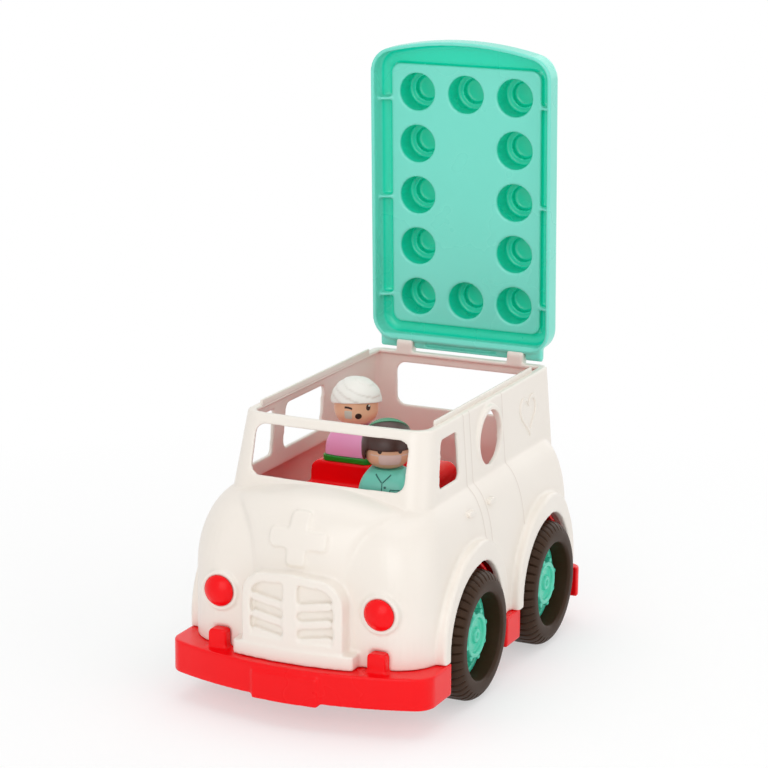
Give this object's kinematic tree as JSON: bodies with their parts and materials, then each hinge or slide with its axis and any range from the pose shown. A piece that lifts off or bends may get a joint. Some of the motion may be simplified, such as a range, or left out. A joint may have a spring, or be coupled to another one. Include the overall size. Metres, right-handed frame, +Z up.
{
  "type": "toy ambulance",
  "caption": "Chunky toy ambulance with a hinged roof lid carrying block studs, free-rolling wheels and lift-out figures with turning heads.",
  "frame": {"origin": "on the ground, in the middle of the footprint of the vehicle and its standing lid", "axes": "+Z up, the vehicle faces -Y, its left side is +X"},
  "size_m": [0.1606, 0.2726, 0.3548],
  "materials": {
    "white_abs": "satin gloss moulded ABS",
    "red_abs": "gloss moulded ABS",
    "teal_abs": "gloss moulded ABS",
    "hub_abs": "gloss moulded ABS",
    "tyre_rubber": "matt soft rubber",
    "steel": "drawn steel wire",
    "skin_vinyl": "matt moulded vinyl",
    "hair_vinyl": "matt moulded vinyl",
    "cap_vinyl": "matt moulded vinyl",
    "bandage_vinyl": "matt moulded vinyl",
    "pink_abs": "satin moulded ABS",
    "green_abs": "satin moulded ABS"
  },
  "bodies": {
    "vehicle": {"body_shell": "white_abs", "chassis": "red_abs", "cabin_insert": "red_abs", "headlamp_left": "red_abs", "headlamp_right": "red_abs", "body_screws": "steel"},
    "lid": {"roof_lid": "teal_abs"},
    "front_wheels": {"front_axle": "steel", "hub_front_left": "hub_abs", "hub_front_right": "hub_abs", "tyre_front_left": "tyre_rubber", "tyre_front_right": "tyre_rubber"},
    "rear_wheels": {"rear_axle": "steel", "hub_rear_left": "hub_abs", "hub_rear_right": "hub_abs", "tyre_rear_left": "tyre_rubber", "tyre_rear_right": "tyre_rubber"},
    "patient": {"patient_base": "green_abs", "patient_torso": "pink_abs"},
    "patient_head_turning": {"patient_head": "skin_vinyl", "patient_bandage": "bandage_vinyl"},
    "medic": {"medic_base": "teal_abs", "medic_torso": "teal_abs"},
    "medic_head_turning": {"medic_head": "skin_vinyl", "medic_hair": "hair_vinyl", "medic_cap": "cap_vinyl"}
  },
  "joints": [
    {"name": "lid_hinge", "type": "hinge", "parent": "vehicle", "child": "lid", "pos_m": [0, 0.10875, 0.1645], "axis": [1, 0, 0], "range_deg": [0, 88]},
    {"name": "front_axle_spin", "type": "hinge", "parent": "vehicle", "child": "front_wheels", "pos_m": [0, -0.04435, 0.0376], "axis": [1, 0, 0], "continuous": true},
    {"name": "rear_axle_spin", "type": "hinge", "parent": "vehicle", "child": "rear_wheels", "pos_m": [0, 0.06305, 0.0376], "axis": [1, 0, 0], "continuous": true},
    {"name": "patient_lift", "type": "slide", "parent": "vehicle", "child": "patient", "axis": [0, 0, 1], "range_m": [0, 0.12]},
    {"name": "patient_head_turn", "type": "hinge", "parent": "patient", "child": "patient_head_turning", "pos_m": [-0.018, -0.00475, 0.1417], "axis": [0, 0, 1], "continuous": true},
    {"name": "medic_lift", "type": "slide", "parent": "vehicle", "child": "medic", "axis": [0, 0, 1], "range_m": [0, 0.12]},
    {"name": "medic_head_turn", "type": "hinge", "parent": "medic", "child": "medic_head_turning", "pos_m": [0.018, -0.03875, 0.1282], "axis": [0, 0, 1], "continuous": true}
  ]
}
